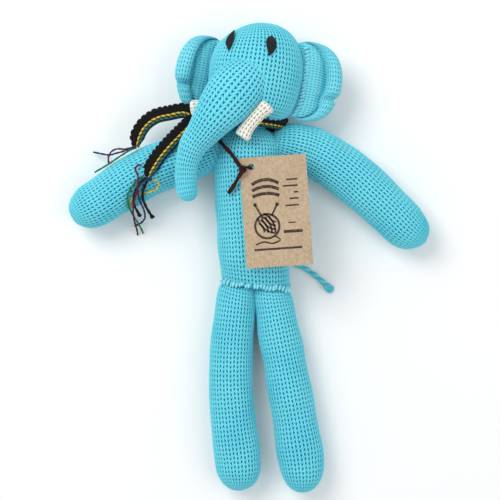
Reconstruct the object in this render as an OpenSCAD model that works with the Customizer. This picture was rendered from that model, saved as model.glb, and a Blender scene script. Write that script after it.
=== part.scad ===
// Hand-knitted toy elephant with a crocheted scarf and a hang tag, lying on its back.
// Millimetres. +Z rises out of the belly and +Y runs to the head. Left and right are as seen from above.
// The origin is on the resting surface, under the middle of the torso.

/* [Torso] */
// Width of the stuffed torso
torso_w = 57; // [47:0.5:70]
// Thickness of the stuffed torso, back to belly
torso_h = 50; // [41:0.5:60]
// Length of the torso from the origin up to the neck
torso_upper = 72; // [60:1:88]
// Length of the torso from the origin down to the hip seam
torso_lower = 50; // [41:1:60]

/* [Head] */
// Width of the head across the ears' seams
head_w = 75; // [62:1:90]
// Length of the head from chin to crown
head_l = 85; // [70:1:102]
// Thickness of the head from the back to the face
head_h = 67; // [55:1:81]
// Lean of the head towards one shoulder, in degrees
head_lean = -12.7; // [-20:0.1:0]
// Turn of the face towards one side, in degrees
head_turn = -15; // [-25:1:0]

/* [Trunk] */
// Width of the trunk where it is sewn to the face
trunk_base_w = 35; // [29:0.5:42]
// Width of the trunk near its tip
trunk_tip_w = 17; // [14:0.5:20.5]

/* [Ears] */
// Width of an ear from its seam to its rim
ear_w = 32; // [26:1:40]
// Length of an ear along its seam
ear_l = 62; // [50:1:75]
// Thickness of an ear
ear_t = 4; // [3:0.5:5]

/* [Arms] */
// Width of a stuffed arm
arm_w = 40; // [33:0.5:48]
// Length of an arm from the shoulder to the hand
arm_len = 124; // [103:1:149]

/* [Legs] */
// Width of a stuffed leg at the foot
leg_w = 36; // [30:0.5:43.5]
// Thickness of a stuffed leg
leg_h = 34; // [28:0.5:41]
// Length of a leg from the hip seam to the foot
leg_len = 168; // [140:1:202]

/* [Tusks] */
// Diameter of a tusk
tusk_d = 8; // [6.5:0.1:9.6]

/* [Knitting] */
// Thickness of the knitted fabric
knit_t = 2.2; // [1.6:0.05:2.8]
// Slack between the fabric and the stuffing
fill_slack = 0.4; // [0.3:0.1:0.8]
// Clearance between pieces that move against each other
joint_gap = 0.4; // [0.3:0.1:0.6]
// Diameter of the yarn bundle in a sewn seam
seam_d = 3.2; // [2.6:0.1:3.8]

/* [Scarf] */
// Width of the crocheted band
scarf_w = 12; // [10:0.2:14.4]
// Thickness of the crocheted band
scarf_t = 2; // [1.6:0.1:2.4]
// Diameter of a fringe yarn
yarn_d = 1.5; // [1.2:0.1:1.8]

/* [Tail] */
// Diameter of the twisted tail cord
tail_d = 4; // [3.2:0.1:4.8]
// Diameter of the knot on the tail's end
tail_knot_d = 6.4; // [5.3:0.1:7.7]

/* [Tag] */
// Width of the card
card_w = 53; // [44:1:64]
// Length of the card
card_l = 88; // [73:1:106]
// Thickness of the card
card_t = 0.8; // [0.5:0.1:1]
// Diameter of the hole for the tie
hole_d = 5; // [4.2:0.1:6]
// Diameter of the tie yarn
tie_d = 2.6; // [2.1:0.1:3.2]

/* [Hidden] */

turquoise = "#62CFDF";
filling = "#F4F1E8";
cream = "#EFEBDD";
ink = "#17181B";
kraft = "#C3AB8D";
maroon = "#3C1415";

// Sides of the rings that make up a skin, a stuffing, a band and a yarn
skin_sides = 20;
fill_sides = 14;
band_sides = 4;
yarn_sides = 8;
ball_fn = 40;

// Places that several pieces share
neck_r = 10;
neck_at = [4, torso_upper + 4, torso_h / 2];
head_half = [head_w / 2, head_l / 2, head_h / 2];
head_rise = norm([head_half[0] * sin(head_turn), head_half[2] * cos(head_turn)]) + 0.3;
head_at = [neck_at[0] + 7, neck_at[1] + head_half[1] - 0.5, head_rise];
shoulder_r = 6.5;
shoulder_reach = torso_w / 2 + 3;
shoulder_y = torso_upper - 11;
hip_slope = -9.9;
hip_at = [0, -torso_lower - 1, leg_h / 2 + 2];
torso_bevel = 45;
leg_bevel = 38;
crotch_x = -1.5;
crotch_gap = 1;
sewn_gap = 0.02;
leg_root_half = torso_w / 4 - crotch_gap / 2 - 0.6;
over_arm = arm_w + 4.5;
ear_back = 8;
ear_hinge_x = head_half[0] + 2.2;
ear_tilts = [50, -25];
card_lift = torso_h + 2.4;
card_corner = [-6.6, 50.4 - card_l];
hole_at = [2.3, 42.8];

function place(s) = [s[0], s[1], s[2]];
function unit(v) = v / norm(v);

// Catmull-Rom blend of four stations; a station is [x, y, z, half width, half thickness]
function blend(a, b, c, d, t) =
    0.5 * (2 * b + (c - a) * t + (2 * a - 5 * b + 4 * c - d) * t * t + (3 * b - a - 3 * c + d) * t * t * t);

function smooth(s, steps) = concat(
    [for (i = [0:len(s) - 2], k = [0:steps - 1])
        blend(s[max(i - 1, 0)], s[i], s[i + 1], s[min(i + 2, len(s) - 1)], k / steps)],
    [s[len(s) - 1]]);

function heading(s, i) = unit(place(s[min(i + 1, len(s) - 1)]) - place(s[max(i - 1, 0)]));

// One ring of points round a station; four sides make a rectangle
function ring(s, i, sides) =
    let (ahead = heading(s, i), across = unit(cross(ahead, [0, 0, 1])), up = cross(across, ahead),
         grow = sides == 4 ? sqrt(2) : 1, start = sides == 4 ? 45 : 0)
    [for (k = [0:sides - 1]) let (w = start + 360 * k / sides)
        place(s[i]) + across * s[i][3] * grow * cos(w) + up * s[i][4] * grow * sin(w)];

// The stations of the cavity inside a skin: one wall thinner, without the two end stations
function inside(s, depth) = [for (i = [1:len(s) - 2])
    [s[i][0], s[i][1], s[i][2], max(s[i][3] - depth, 0.6), max(s[i][4] - depth, 0.6)]];

// Stations whose first and last are drawn in along the path
function drawn_in(s, d) =
    let (n = len(s), head = unit(place(s[1]) - place(s[0])), foot = unit(place(s[n - 2]) - place(s[n - 1])))
    [for (i = [0:n - 1]) i == 0 ? s[0] + [for (k = [0:4]) k < 3 ? head[k] * d : 0]
        : i == n - 1 ? s[n - 1] + [for (k = [0:4]) k < 3 ? foot[k] * d : 0] : s[i]];

module loft(s, sides) {
    n = len(s);
    points = [for (i = [0:n - 1]) each ring(s, i, sides)];
    walls = [for (i = [0:n - 2], k = [0:sides - 1])
        let (a = i * sides + k, b = i * sides + (k + 1) % sides, c = b + sides, d = a + sides)
        each [[a, b, c], [a, c, d]]];
    first = [for (k = [sides - 1:-1:0]) k];
    last = [for (k = [0:sides - 1]) (n - 1) * sides + k];
    polyhedron(points = points, faces = concat(walls, [first], [last]));
}

// A yarn: a round tube along chosen points, with a ring about every two diameters
module yarn(points, d, steps) {
    loft(smooth([for (p = points) [p[0], p[1], p[2], d / 2, d / 2]], steps), yarn_sides);
}

// Torso ------------------------------------------------------------------------------------------

function torso_stations() =
    let (w = torso_w / 2, h = torso_h / 2, up = torso_upper, down = torso_lower) [
    [-0.6, -down - 12, h, w * 0.96, h],
    [-0.4, -down, h, w * 0.97, h],
    [0, -down * 0.4, h, w, h],
    [0, 0, h, w, h],
    [0.3, up * 0.45, h, w, h],
    [0.8, up * 0.72, h, w * 0.97, h * 0.96],
    [1.8, up * 0.88, h, w * 0.78, h * 0.78],
    [2.8, up * 0.97, h, w * 0.5, h * 0.52],
    [3.2, up, h, w * 0.22, h * 0.25]
];

// Everything on one side of the hip seam: a wedge whose edge lies along the seam
module hip_wedge(half_angle, side, setback) {
    reach = 300;
    rise = reach * tan(half_angle);
    translate(hip_at) rotate([0, 0, hip_slope])
        rotate([90, 0, 90]) translate([side * setback / sin(half_angle), 0, -150])
            linear_extrude(300) polygon([[0, 0], [side * reach, -rise], [side * reach, rise]]);
}

module above(z) {
    translate([-250, -300, z]) cube([500, 600, 200]);
}

module torso_form(depth, sides) {
    // The fabric turns in by its own thickness everywhere, also at the hip and on the flat back
    s = smooth(torso_stations(), 2);
    intersection() {
        loft(depth == 0 ? s : drawn_in(inside(s, depth), depth - knit_t), sides);
        hip_wedge(torso_bevel, 1, depth + joint_gap);
        above(depth);
    }
}

module neck_ball(gap) {
    translate(neck_at) sphere(neck_r + gap, $fn = ball_fn);
}

module shoulder_ball(side, gap) {
    translate([side * shoulder_reach, shoulder_y, arm_w / 2]) sphere(shoulder_r + gap, $fn = ball_fn);
}

module body_openings(gap) {
    neck_ball(gap);
    shoulder_ball(-1, gap);
    shoulder_ball(1, gap);
}

module torso_skin() {
    color(turquoise) difference() {
        torso_form(0, skin_sides);
        torso_form(knit_t, skin_sides);
        body_openings(joint_gap);
        hip_pin(-1, sewn_gap);
        hip_pin(1, sewn_gap);
    }
}

module torso_stuffing() {
    color(filling) difference() {
        torso_form(knit_t + fill_slack, fill_sides);
        body_openings(joint_gap + fill_slack);
    }
}

module neck_gather() {
    color(turquoise) neck_ball(0);
}

module shoulder_gather(side) {
    color(turquoise) shoulder_ball(side, 0);
}

// Head -------------------------------------------------------------------------------------------

module in_head() {
    translate(head_at) rotate([0, 0, head_lean]) rotate([0, head_turn, 0]) children();
}

module head_form(grow) {
    in_head() scale([head_half[0] + grow, head_half[1] + grow, head_half[2] + grow])
        sphere(1, $fn = ball_fn);
}

module head_skin() {
    color(turquoise) difference() {
        head_form(0);
        head_form(-knit_t);
        neck_ball(joint_gap);
    }
}

module head_stuffing() {
    color(filling) difference() {
        head_form(-knit_t - fill_slack);
        neck_ball(joint_gap + fill_slack);
    }
}

// A leaf: the overlap of two circles, pointed at both ends
module leaf(l, w) {
    r = (l * l / 4 + w * w / 4) / w;
    intersection() {
        translate([r - w / 2, 0]) circle(r, $fn = 48);
        translate([w / 2 - r, 0]) circle(r, $fn = 48);
    }
}

// A teardrop: a round top drawn down to a point
module teardrop(l, w) {
    hull() {
        translate([0, l / 2 - w / 2]) circle(w / 2, $fn = 32);
        translate([0, 0.2 - l / 2]) circle(0.2, $fn = 8);
    }
}

module on_face(x, y, turn) {
    stitch_t = 1;
    difference() {
        intersection() {
            head_form(stitch_t);
            translate([head_at[0] + x, head_at[1] + y, head_at[2] + 3]) rotate([0, 0, turn])
                linear_extrude(head_h) children();
        }
        head_form(0);
    }
}

module left_eye() {
    color(ink) on_face(head_half[0] * -0.477, head_half[1] * 0.673, -20) leaf(17, 7);
}

module right_eye() {
    color(ink) on_face(head_half[0] * 0.347, head_half[1] * 0.518, -10) teardrop(15, 7.5);
}

module tusk(points) {
    r = tusk_d / 2;
    s = smooth([for (p = points) [p[0], p[1], p[2], r, r]], 2);
    color(cream) difference() {
        loft(s, fill_sides);
        head_form(0);
    }
}

module left_tusk() {
    chin = head_at + [-28, -20, 7.5];
    tusk([chin + [6, 1.5, 0], chin, chin + [-11, -2.5, 0.5], chin + [-22, -3.2, 1]]);
}

module right_tusk() {
    over_belly = [neck_at[0], neck_at[1], torso_h + 4.4 + tusk_d / 2];
    tusk([head_at + [9.5, -22, head_half[2] - 12], over_belly + [13, 15, 3], over_belly + [4.3, 5.8, 1.5],
        over_belly + [-2.7, -1, 0.5], over_belly + [-4.7, -7.3, 0]]);
}

// Trunk ------------------------------------------------------------------------------------------

function trunk_stations() =
    let (base = trunk_base_w / 2, tip = trunk_tip_w / 2, top = head_at[2] + head_half[2], y = shoulder_y) [
    [head_at[0] - 7, head_at[1], top - 5, base * 0.85, 8.5],
    [head_at[0] - 17, head_at[1] - 14, top - 6, base, 13],
    [-20.6, y + 26.1, over_arm + 16.5, base * 0.93, 13],
    [-33, y + 13, over_arm + 12.5, base * 0.74, 11.5],
    [-43.3, y + 2, over_arm + 10, base * 0.6, 10],
    [-49, y - 13, over_arm + tip, tip * 1.05, tip],
    [-49.8, y - 27, over_arm + tip, tip, tip],
    [-49.3, y - 35, over_arm + tip, tip * 0.96, tip * 0.96],
    [-48.8, y - 40, over_arm + tip, tip * 0.66, tip * 0.66],
    [-48.7, y - 41.8, over_arm + tip, tip * 0.25, tip * 0.25]
];

module trunk_form(depth, sides) {
    s = smooth(trunk_stations(), 2);
    loft(depth == 0 ? s : drawn_in(inside(s, depth), depth - knit_t), sides);
}

module trunk_skin() {
    color(turquoise) difference() {
        trunk_form(0, skin_sides);
        trunk_form(knit_t, skin_sides);
        head_form(joint_gap);
    }
}

module trunk_stuffing() {
    color(filling) difference() {
        trunk_form(knit_t + fill_slack, fill_sides);
        head_form(joint_gap + fill_slack);
    }
}

// Ears -------------------------------------------------------------------------------------------

// Half-round outline: straight along the seam, full at the rim
module ear_outline() {
    root = seam_d / 2 + joint_gap;
    polygon(concat([[root, -ear_l * 0.36]],
        [for (w = [-80:16:80]) [root + (ear_w - root) * pow(cos(w), 0.7), ear_l / 2 * sin(w)]],
        [[root, ear_l * 0.36]]));
}

module at_ear(side) {
    in_head() translate([side * ear_hinge_x, side < 0 ? -5 : 1, -ear_back]) children();
}

module ear(side) {
    tilt = side < 0 ? ear_tilts[0] : ear_tilts[1];
    color(turquoise) at_ear(side) rotate([0, -side * tilt, 0]) mirror([side < 0 ? 1 : 0, 0, 0])
        translate([0, 0, -ear_t / 2]) linear_extrude(ear_t) ear_outline();
}

module ear_seam(side) {
    length = ear_l * 0.66;
    web = seam_d * 0.6;
    color(turquoise) difference() {
        at_ear(side) {
            rotate([90, 0, 0]) cylinder(h = length, d = seam_d, center = true, $fn = 24);
            translate([side < 0 ? 0 : -14, -length / 2, -web / 2]) cube([14, length, web]);
        }
        head_form(0);
    }
}

// Arms -------------------------------------------------------------------------------------------

// Steps from the shoulder as [along x, along y, width as a share of arm_w]
left_arm_steps = [
    [-3, -0.8, 0.36], [-10, -2.5, 0.64], [-19, -4.5, 0.86], [-34, -8.7, 0.97], [-47.3, -13, 1],
    [-72, -24.8, 0.96], [-90.2, -35.2, 0.95], [-102.5, -41, 0.87], [-109.5, -44, 0.66],
    [-114, -46.2, 0.36], [-115.3, -46.8, 0.1]
];
right_arm_steps = [
    [3, -0.8, 0.36], [10, -2.5, 0.64], [19, -5.5, 0.86], [27, -9.5, 0.98], [45, -23, 1],
    [67, -44.6, 0.98], [83, -61.6, 0.93], [94.5, -74.5, 0.92], [103, -82, 0.7], [107.5, -86, 0.36],
    [109, -87.3, 0.1]
];

function arm_stations(side) =
    let (steps = side < 0 ? left_arm_steps : right_arm_steps, stretch = arm_len / 124, r = arm_w / 2)
    [for (p = steps)
        [side * shoulder_reach + p[0] * stretch, shoulder_y + p[1] * stretch, r, p[2] * r, p[2] * r]];

module arm_form(side, depth, sides) {
    s = arm_stations(side);
    loft(depth == 0 ? s : drawn_in(inside(s, depth), depth - knit_t), sides);
}

module arm_skin(side) {
    color(turquoise) difference() {
        arm_form(side, 0, skin_sides);
        arm_form(side, knit_t, skin_sides);
        shoulder_ball(side, joint_gap);
    }
}

module arm_stuffing(side) {
    color(filling) difference() {
        arm_form(side, knit_t + fill_slack, fill_sides);
        shoulder_ball(side, joint_gap + fill_slack);
    }
}

// Legs -------------------------------------------------------------------------------------------

// Steps from the hip as [along x, along y, width as a share of leg_w], the first one at the seam
left_leg_steps = [
    [0, 8, 0], [-3.6, -12, 0.76], [-9.5, -52, 0.93], [-10.8, -108, 0.98], [-9, -146, 1],
    [-9.2, -158, 0.86], [-9.5, -165, 0.52], [-9.6, -167, 0.12]
];
right_leg_steps = [
    [0, 6, 0], [1, -12, 0.76], [5.4, -54, 0.93], [11.3, -111, 0.98], [15, -149, 1],
    [15.2, -162, 0.86], [14.8, -169, 0.52], [14.6, -171, 0.12]
];

function leg_stations(side) =
    let (steps = side < 0 ? left_leg_steps : right_leg_steps, stretch = leg_len / 168,
         root = crotch_x + side * (crotch_gap / 2 + leg_root_half), lift = leg_h / 2)
    [for (p = steps)
        [root + p[0] * stretch, hip_at[1] + p[1] * stretch, lift,
         p[2] == 0 ? leg_root_half : p[2] * max(leg_w / 2, leg_root_half),
         p[2] == 0 ? 0.95 * lift : min(p[2] * 1.04, 1) * lift]];

module leg_form(side, depth, sides) {
    s = smooth(leg_stations(side), 2);
    intersection() {
        loft(depth == 0 ? s : drawn_in(inside(s, depth), depth - knit_t), sides);
        hip_wedge(leg_bevel, -1, depth + joint_gap);
    }
}

module hip_pin(side, gap) {
    inner = crotch_gap / 2;
    length = 2 * leg_root_half;
    cut = gap == 0 ? length : 300;
    translate(hip_at) rotate([0, 0, hip_slope]) translate([crotch_x + side * (inner + length / 2), 0, 0])
        rotate([0, 90, 0]) cylinder(h = cut, d = seam_d + 2 * gap, center = true, $fn = 24);
}

module leg_skin(side) {
    color(turquoise) difference() {
        leg_form(side, 0, skin_sides);
        leg_form(side, knit_t, skin_sides);
        hip_pin(side, joint_gap);
    }
}

module leg_stuffing(side) {
    color(filling) leg_form(side, knit_t + fill_slack, fill_sides);
}

module hip_seam(side) {
    color(turquoise) hip_pin(side, 0);
}

// Scarf ------------------------------------------------------------------------------------------

// The loop lies in the groove between head and torso, its head side opened outwards
loop_at = neck_at + [-1, -0.7, 2.5];
loop_half = [torso_w / 2 + 1.5, torso_h / 2 - 4];
loop_flare = 30;
loop_skew = 5;

module scarf_loop() {
    count = 36;
    axis = [sin(loop_skew), cos(loop_skew), 0];
    wide = [cos(loop_skew), -sin(loop_skew), 0];
    points = [for (i = [0:count - 1]) let (w = 360 * i / count,
            out = unit([0, 0, 1] * sin(w) / loop_half[1] + wide * cos(w) / loop_half[0]),
            mid = loop_at + wide * loop_half[0] * cos(w) + [0, 0, loop_half[1] * sin(w)],
            along = axis * cos(loop_flare) + out * sin(loop_flare),
            thick = out * cos(loop_flare) - axis * sin(loop_flare))
        each [for (c = [[-1, -1], [1, -1], [1, 1], [-1, 1]])
            mid + along * c[0] * scarf_w / 2 + thick * c[1] * scarf_t / 2]];
    faces = [for (i = [0:count - 1], k = [0:3])
        let (next = (k + 1) % 4, ahead = 4 * ((i + 1) % count),
             a = i * 4 + k, b = i * 4 + next, c = ahead + next, d = ahead + k)
        each [[a, c, b], [a, d, c]]];
    color(ink) polyhedron(points = points, faces = faces);
}

module band(points) {
    color(ink) loft(smooth([for (p = points) [p[0], p[1], p[2], scarf_w / 2, scarf_t / 2]], 3), band_sides);
}

module scarf_tail_upper() {
    y = shoulder_y + arm_w / 2;
    z = arm_w - 7;
    band([[-33, y + 5, z], [-38.4, y + 6.5, z + 1], [-47.8, y + 11.2, z + 1.5],
        [-59.8, y + 10.5, z + 0.5], [-72, y + 8.5, z - 1], [-81.5, y + 2.5, z - 2.5],
        [-87, y - 5.5, z - 3.5], [-88.5, y - 12.5, z - 3.5]]);
}

module scarf_tail_lower() {
    z = arm_w + 0.6 + scarf_t / 2;
    y = shoulder_y;
    band([[-34, y + 27, z - 5], [-40, y + 23.5, z - 3], [-50.5, y + 15, z], [-61.8, y + 5, z],
        [-72.3, y - 6.1, z], [-78.5, y - 15.3, z], [-80.5, y - 20, z]]);
}

fringe_upper_navy_route = [
    [-90, 66, 28], [-94, 66, 27], [-99.4, 64.5, 25], [-106.7, 63.5, 20], [-112.4, 62.8, 14],
    [-119.6, 64.7, 8], [-126.7, 66.8, 5]
];
fringe_upper_green_route = [
    [-89, 66, 29.5], [-93, 65, 30], [-101.2, 61, 29.5], [-112.9, 54.5, 27.5], [-124.7, 48.8, 25]
];
fringe_upper_purple_route = [
    [-90, 67.5, 31], [-93.6, 66, 33.5], [-98.5, 65.2, 35], [-104.1, 65.8, 35], [-108.2, 64.7, 33.5],
    [-111.7, 60.9, 31.5], [-112.3, 53.8, 31]
];
fringe_lower_maroon_route = [
    [-85, 50.5, 42], [-87.5, 51.5, 42.5], [-90, 48.5, 43.5], [-88.5, 43, 45.5], [-88.5, 37, 47],
    [-89.5, 31.5, 46.2], [-92, 25, 42.5], [-94.5, 18, 36], [-95.5, 11, 26], [-95.5, 4, 13], [-95, -1.5, 4],
    [-95, -4, 2]
];
fringe_lower_navy_route = [
    [-77.8, 39.3, 41.9], [-81, 38.7, 44.9], [-85, 37, 45.4], [-88.3, 33.5, 44.8], [-89.5, 28, 41.5],
    [-88.5, 22, 36], [-87, 16.5, 27.5], [-86.8, 11.5, 17], [-88.5, 8, 8], [-92, 5.5, 3], [-97, 3.5, 1.6]
];
fringe_lower_green_route = [
    [-84.6, 41.7, 41.8], [-89.5, 39, 42.5], [-94, 34, 42.2], [-97.5, 28.5, 40.6], [-98.5, 22.5, 37.6],
    [-97.5, 16.5, 31], [-95.5, 10.5, 20.5], [-93, 4.5, 9.5], [-91, -1, 3], [-90.5, -3, 1.6]
];
fringe_lower_yellow_route = [
    [-76, 38.6, 41.6], [-73.5, 37, 40.5], [-72.8, 33.8, 38.5], [-75, 31, 36.5], [-80, 29.5, 36],
    [-85.5, 28.8, 35.8], [-91, 27.5, 36.6], [-95, 24.5, 36], [-96.6, 20.5, 33.2], [-96.2, 19, 31.8]
];
fringe_lower_black_1_route = [
    [-82.1, 40.6, 41.6], [-86, 38, 42.6], [-90.5, 32.5, 41.5], [-93.2, 26, 38.8], [-93.8, 20, 34],
    [-92.2, 15, 27], [-91, 11.5, 21]
];
fringe_lower_black_2_route = [
    [-79.8, 40, 41.5], [-82, 37, 41.2], [-85, 31.5, 39.8], [-86.3, 26, 36.2], [-85.5, 20, 28.5],
    [-83.5, 14.5, 21], [-81, 9.5, 14.5]
];

module fringe(route, tone, thickness) {
    color(tone) yarn(route, thickness, 2);
}

// Tail -------------------------------------------------------------------------------------------

tail_route = [
    [23.5, -30, 7], [26.5, -32.2, 6], [30.3, -35, 5], [40.4, -40.5, 3], [49.7, -47.7, 2.6], [57, -55, 2.8]
];
tail_end = [59, -57.5, 3.4];

module tail_cord() {
    color(turquoise) difference() {
        yarn(tail_route, tail_d, 2);
        translate(tail_end) sphere(d = tail_knot_d, $fn = 24);
    }
}

module tail_knot() {
    color(turquoise) translate(tail_end) sphere(d = tail_knot_d, $fn = 24);
}

// Hang tag ---------------------------------------------------------------------------------------

module tag_card() {
    color(kraft) difference() {
        translate([card_corner[0], card_corner[1], card_lift]) cube([card_w, card_l, card_t]);
        translate([hole_at[0], hole_at[1], card_lift - 1]) cylinder(h = card_t + 2, d = hole_d, $fn = 32);
    }
}

// The tie's loop goes through the hole and round the card's edge, pulled flat
module tag_tie_loop() {
    thread = tie_d / 2 - 0.2;
    outer = card_corner[0] - thread - 0.4;
    mid = (hole_at[0] + outer) / 2;
    squeeze = 0.46;
    color(maroon) translate([mid, hole_at[1] - 0.6, card_lift + card_t / 2]) rotate([90, 0, 0])
        scale([1, squeeze, 1]) rotate_extrude($fn = 32)
            translate([(hole_at[0] - outer) / 2, 0]) circle(thread, $fn = 16);
}

tie_route = [
    [-21.2, 66, 44], [-17, 60, 49], [-12.3, 54, 52.5], [-8, 46.5, 55.5], [-4.8, 41, 57.5], [-8, 35.5, 56],
    [-12, 29.5, 53], [-16.8, 23.5, 50.5]
];

module tag_tie() {
    color(maroon) yarn(tie_route, tie_d, 2);
}

torso_skin();
torso_stuffing();
neck_gather();
head_skin();
head_stuffing();
left_eye();
right_eye();
left_tusk();
right_tusk();
trunk_skin();
trunk_stuffing();
ear(-1);  // left_ear
ear(1);  // right_ear
ear_seam(-1);  // left_ear_seam
ear_seam(1);  // right_ear_seam
shoulder_gather(-1);  // left_shoulder_gather
shoulder_gather(1);  // right_shoulder_gather
arm_skin(-1);  // left_arm_skin
arm_stuffing(-1);  // left_arm_stuffing
arm_skin(1);  // right_arm_skin
arm_stuffing(1);  // right_arm_stuffing
hip_seam(-1);  // left_hip_seam
hip_seam(1);  // right_hip_seam
leg_skin(-1);  // left_leg_skin
leg_stuffing(-1);  // left_leg_stuffing
leg_skin(1);  // right_leg_skin
leg_stuffing(1);  // right_leg_stuffing
scarf_loop();
scarf_tail_upper();
scarf_tail_lower();
fringe(fringe_upper_navy_route, "#26325F", yarn_d);  // fringe_upper_navy
fringe(fringe_upper_green_route, "#1E8A5A", yarn_d);  // fringe_upper_green
fringe(fringe_upper_purple_route, "#5C1E48", yarn_d);  // fringe_upper_purple
fringe(fringe_lower_maroon_route, "#5E1631", yarn_d);  // fringe_lower_maroon
fringe(fringe_lower_navy_route, "#26325F", yarn_d);  // fringe_lower_navy
fringe(fringe_lower_green_route, "#1E8A5A", yarn_d);  // fringe_lower_green
fringe(fringe_lower_yellow_route, "#E8CB45", yarn_d);  // fringe_lower_yellow
fringe(fringe_lower_black_1_route, ink, yarn_d + 0.7);  // fringe_lower_black_1
fringe(fringe_lower_black_2_route, ink, yarn_d + 0.7);  // fringe_lower_black_2
tail_cord();
tail_knot();
tag_card();
tag_tie();
tag_tie_loop();
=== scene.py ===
import math

import bmesh
import bpy
import numpy as np
from mathutils import Matrix, Vector


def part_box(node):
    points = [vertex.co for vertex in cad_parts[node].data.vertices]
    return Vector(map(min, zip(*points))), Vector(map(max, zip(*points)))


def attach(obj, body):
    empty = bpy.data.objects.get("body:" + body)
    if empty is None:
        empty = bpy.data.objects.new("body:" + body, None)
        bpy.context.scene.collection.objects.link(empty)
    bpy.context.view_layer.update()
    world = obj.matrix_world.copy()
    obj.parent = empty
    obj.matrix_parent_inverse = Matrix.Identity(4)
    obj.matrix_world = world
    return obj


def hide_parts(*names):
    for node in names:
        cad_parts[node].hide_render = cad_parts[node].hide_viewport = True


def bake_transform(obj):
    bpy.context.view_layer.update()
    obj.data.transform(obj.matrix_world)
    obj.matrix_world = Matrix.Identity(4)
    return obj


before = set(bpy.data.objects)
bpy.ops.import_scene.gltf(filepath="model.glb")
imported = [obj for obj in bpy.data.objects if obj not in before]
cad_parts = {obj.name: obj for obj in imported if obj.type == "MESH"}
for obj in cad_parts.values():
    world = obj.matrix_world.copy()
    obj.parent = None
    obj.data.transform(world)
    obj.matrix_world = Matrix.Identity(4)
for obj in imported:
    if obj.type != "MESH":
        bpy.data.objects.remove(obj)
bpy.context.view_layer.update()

chance = np.random.default_rng(629)

MM = 0.001
WALE = 5.0           # width of one column of stitches, in mm
COURSE = 3.7         # height of one row of stitches, in mm
STITCH_SLANT = 3.0   # courses that a stitch's leg climbs over one wale
LEG_START = 0.18     # where a leg's round back starts at the middle of a wale, in half turns
LEG_SPAN = 1.28      # half turns of that round back to one wale
STITCH_MIDDLE = 0.6  # the height of a stitch that lies on the form it covers
ROWS = 6             # rings of the mesh to one course
SIDES = 12           # sides of the mesh to one wale
YARN_SIDES = 12      # sides of the mesh round a yarn
UP = np.array([0.0, 0.0, 1.0])


# Camera and lamps ----------------------------------------------------------------------------

def look_down():
    """A long lens straight above the toy, turned a little."""
    lens = bpy.data.cameras.new("overhead_camera")
    lens.lens = 104
    lens.sensor_width = 36
    lens.clip_end = 10
    camera = bpy.data.objects.new("overhead_camera", lens)
    camera.location = (-0.003, -0.0229, 1.2)
    camera.rotation_euler = (0, 0, math.radians(-3.95))
    bpy.context.scene.collection.objects.link(camera)
    bpy.context.scene.camera = camera


def soft_box(name, place, size, watts, tint):
    """A square softbox at a place in metres, turned towards the toy."""
    lamp = bpy.data.lights.new(name, "AREA")
    lamp.shape = "SQUARE"
    lamp.size = size
    lamp.energy = watts
    lamp.color = tint
    holder = bpy.data.objects.new(name, lamp)
    bpy.context.scene.collection.objects.link(holder)
    look = (-Vector(place)).to_track_quat("-Z", "Y").to_matrix().to_4x4()
    holder.matrix_world = Matrix.Translation(place) @ look


look_down()


# Small helpers -------------------------------------------------------------------------------

def linear(code):
    """An sRGB hex colour as the linear colour that a shader wants."""
    parts = [int(code[i:i + 2], 16) / 255 for i in (1, 3, 5)]
    return tuple(c / 12.92 if c <= 0.04045 else ((c + 0.055) / 1.055) ** 2.4 for c in parts) + (1.0,)


def unit(v):
    """Vectors of length one in the same directions."""
    return v / np.maximum(np.linalg.norm(v, axis=-1, keepdims=True), 1e-9)


def ease(low, high, x):
    """Goes smoothly from 0 at low to 1 at high."""
    t = np.clip((x - low) / (high - low), 0, 1)
    return t * t * (3 - 2 * t)


def travelled(points):
    """How far each point of a path is from its start, along the path."""
    return np.concatenate([[0], np.cumsum(np.linalg.norm(np.diff(points, axis=0), axis=1))])


def smooth_run(stations, gap):
    """A smooth run through stations, with a point about every gap. A station is a place in mm, two
    half widths and any more numbers that go along."""
    s = np.array(stations, float)
    chord = travelled(s[:, :5])
    slope = np.gradient(s, chord, axis=0)
    t = np.linspace(0, chord[-1], int(chord[-1] / gap) * 4 + 8)
    k = np.clip(np.searchsorted(chord, t, side="right") - 1, 0, len(s) - 2)
    h = (chord[k + 1] - chord[k])[:, None]
    u = ((t - chord[k]) / h[:, 0])[:, None]
    fine = ((1 + 2 * u) * (1 - u) ** 2 * s[k] + u * (1 - u) ** 2 * h * slope[k]
            + u * u * (3 - 2 * u) * s[k + 1] + u * u * (u - 1) * h * slope[k + 1])
    run = travelled(fine[:, :5])
    at = np.linspace(0, run[-1], max(int(round(run[-1] / gap)), 6) + 1)
    return np.stack([np.interp(at, run, fine[:, i]) for i in range(s.shape[1])], axis=1)


def smooth_path(places, gap):
    """A smooth path through places in mm, which may be flat or in space."""
    size = len(places[0])
    return smooth_run([[*p, *[0] * (5 - size)] for p in places], gap)[:, :size]


def mesh_from(shape, name):
    """A mesh made from a bmesh, which isn't needed any more."""
    mesh = bpy.data.meshes.new(name)
    shape.to_mesh(mesh)
    shape.free()
    return mesh


def in_scene(name, mesh, material):
    """Makes a piece from a mesh and a material."""
    mesh.materials.append(material)
    piece = bpy.data.objects.new(name, mesh)
    bpy.context.scene.collection.objects.link(piece)
    return piece


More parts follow.
